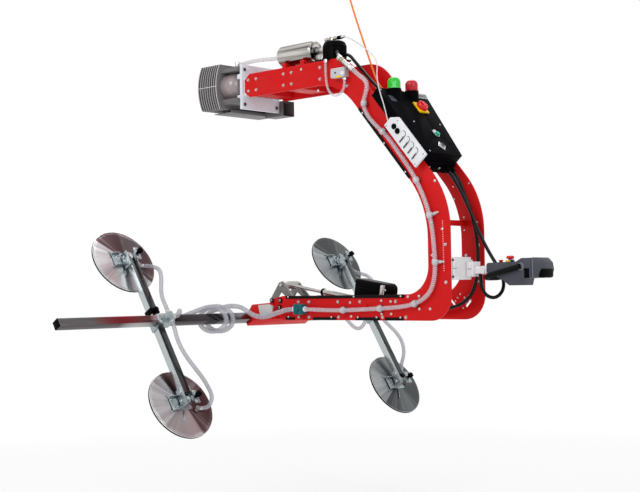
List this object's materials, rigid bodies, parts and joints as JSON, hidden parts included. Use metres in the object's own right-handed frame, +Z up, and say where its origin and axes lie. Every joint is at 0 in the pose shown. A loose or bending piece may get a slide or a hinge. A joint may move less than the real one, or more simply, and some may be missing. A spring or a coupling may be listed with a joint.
{
  "type": "glass panel lifter",
  "caption": "Crane-hung vacuum glass lifter: red C-shaped frame with pump, control box and handset, and a tilting beam with sliding cross arms and suction discs.",
  "frame": {"origin": "centre of the lifting eye above the upper arm", "axes": "+X towards the back of the C and the handset, +Y along the beam away from the socket panel's side, +Z up"},
  "size_m": [2.0967, 2.606, 2.1518],
  "materials": {
    "red_paint": "gloss",
    "black_paint": "satin",
    "zinc": "satin",
    "bolt_steel": "satin",
    "pump_grey": "matte",
    "light_grey": "satin",
    "polished": "polished",
    "aluminium": "satin",
    "beam_steel": "satin",
    "disc_steel": "satin",
    "rubber": "matte",
    "black_plastic": "matte",
    "grey_plastic": "matte",
    "white_plastic": "gloss",
    "clear_hose": "gloss",
    "cable_black": "matte",
    "orange_cable": "matte",
    "green_lens": "gloss",
    "red_lens": "gloss",
    "yellow_plastic": "gloss",
    "red_plastic": "gloss",
    "blue_plastic": "gloss",
    "teal_plastic": "gloss"
  },
  "bodies": {
    "frame": {"front_side_plate": "red_paint", "rear_side_plate": "red_paint", "frame_spacers": "red_paint", "frame_bolts": "bolt_steel", "edge_strips": "rubber", "lifting_lug": "red_paint", "pump_flange": "light_grey", "pump_housing": "pump_grey", "pump_tray": "black_paint", "vacuum_tank": "polished", "tank_saddles": "zinc", "filter_housing": "black_plastic", "air_fittings": "zinc", "main_hose": "clear_hose", "hose_clips": "zinc", "pump_hoses": "clear_hose", "control_box": "black_paint", "control_lid": "black_paint", "green_beacon": "green_lens", "red_beacon": "red_lens", "panel_bezels": "yellow_plastic", "cable_glands": "black_plastic", "socket_panel": "white_plastic", "handset_bracket": "aluminium", "handset_body": "grey_plastic", "handset_loop": "rubber", "control_cables": "cable_black", "supply_cable": "orange_cable", "tilt_bearings": "rubber", "arm_feed_hose": "clear_hose"},
    "main_switch": {"main_switch_knob": "red_plastic"},
    "start": {"start_button": "teal_plastic"},
    "key": {"key_switch": "polished"},
    "estop": {"estop_button": "red_plastic"},
    "red": {"red_button": "red_plastic"},
    "blue": {"blue_button": "blue_plastic"},
    "head": {"tilt_levers": "zinc", "tilt_shaft": "zinc", "cradle": "red_paint", "main_beam": "beam_steel", "beam_caps": "black_plastic", "hose_coil": "clear_hose", "near_feed_hose": "clear_hose", "far_feed_hose": "clear_hose"},
    "rod": {"actuator_rod": "polished"},
    "actuator": {"actuator_body": "black_plastic"},
    "near_cross": {"near_cross_arm": "beam_steel", "near_brackets": "zinc", "near_hoses": "clear_hose"},
    "far_cross": {"far_cross_arm": "beam_steel", "far_brackets": "zinc", "far_hoses": "clear_hose"},
    "near_upper": {"near_upper_disc": "disc_steel", "near_upper_seal": "rubber"},
    "near_lower": {"near_lower_disc": "disc_steel", "near_lower_seal": "rubber"},
    "far_upper": {"far_upper_disc": "disc_steel", "far_upper_seal": "rubber"},
    "far_lower": {"far_lower_disc": "disc_steel", "far_lower_seal": "rubber"}
  },
  "joints": [
    {"name": "head_tilt", "type": "hinge", "parent": "frame", "child": "head", "pos_m": [-0.157, 0, -1.261], "axis": [0, 1, 0], "range_deg": [-24, 32], "deforming": ["arm_feed_hose"]},
    {"name": "rod_turn", "type": "hinge", "parent": "head", "child": "rod", "pos_m": [-0.172, 0, -1.15], "axis": [0, 1, 0], "range_deg": [-32, 25]},
    {"name": "actuator_stroke", "type": "slide", "parent": "rod", "child": "actuator", "axis": [0.9871, 0, -0.1599], "range_m": [-0.062, 0.048]},
    {"name": "near_cross_slide", "type": "slide", "parent": "head", "child": "near_cross", "axis": [0, 1, 0], "range_m": [-0.35, 0.12], "deforming": ["near_feed_hose"]},
    {"name": "far_cross_slide", "type": "slide", "parent": "head", "child": "far_cross", "axis": [0, 1, 0], "range_m": [-0.25, 0.3], "deforming": ["far_feed_hose"]},
    {"name": "main_switch_turn", "type": "hinge", "parent": "frame", "child": "main_switch", "pos_m": [0.65057, 0.062, -0.33673], "axis": [-0.7547, 0, -0.6561], "range_deg": [0, 90]},
    {"name": "start_press", "type": "slide", "parent": "frame", "child": "start", "axis": [-0.7547, 0, -0.6561], "range_m": [0, 0.004], "stiffness_N_per_m": 600, "springref_m": -0.002},
    {"name": "key_turn", "type": "hinge", "parent": "frame", "child": "key", "pos_m": [0.81983, 0.004, -0.53145], "axis": [-0.7547, 0, -0.6561], "range_deg": [0, 90]},
    {"name": "estop_press", "type": "slide", "parent": "frame", "child": "estop", "axis": [0, 0, -1], "range_m": [0, 0.005], "stiffness_N_per_m": 800, "springref_m": -0.003},
    {"name": "red_press", "type": "slide", "parent": "frame", "child": "red", "axis": [0, 0, -1], "range_m": [0, 0.003], "stiffness_N_per_m": 500, "springref_m": -0.002},
    {"name": "blue_press", "type": "slide", "parent": "frame", "child": "blue", "axis": [0, 0, -1], "range_m": [0, 0.003], "stiffness_N_per_m": 500, "springref_m": -0.002},
    {"name": "near_upper_swivel", "type": "hinge", "parent": "near_cross", "child": "near_upper", "pos_m": [-0.58715, -0.699, -1.00352], "axis": [0, 1, 0], "range_deg": [-5, 5], "stiffness_Nm_per_rad": 120, "deforming": ["near_hoses"]},
    {"name": "near_lower_swivel", "type": "hinge", "parent": "near_cross", "child": "near_lower", "pos_m": [-0.16322, -0.699, -1.68196], "axis": [0, 1, 0], "range_deg": [-5, 5], "stiffness_Nm_per_rad": 120, "deforming": ["near_hoses"]},
    {"name": "far_upper_swivel", "type": "hinge", "parent": "far_cross", "child": "far_upper", "pos_m": [-0.58715, 0.83, -1.00352], "axis": [0, 1, 0], "range_deg": [-5, 5], "stiffness_Nm_per_rad": 120, "deforming": ["far_hoses"]},
    {"name": "far_lower_swivel", "type": "hinge", "parent": "far_cross", "child": "far_lower", "pos_m": [-0.16322, 0.83, -1.68196], "axis": [0, 1, 0], "range_deg": [-5, 5], "stiffness_Nm_per_rad": 120, "deforming": ["far_hoses"]}
  ],
  "couplings": [
    {"joint": "rod_turn", "follows": "head_tilt", "ratio": -0.962},
    {"joint": "actuator_stroke", "follows": "head_tilt", "m_per_rad": -0.1055}
  ]
}
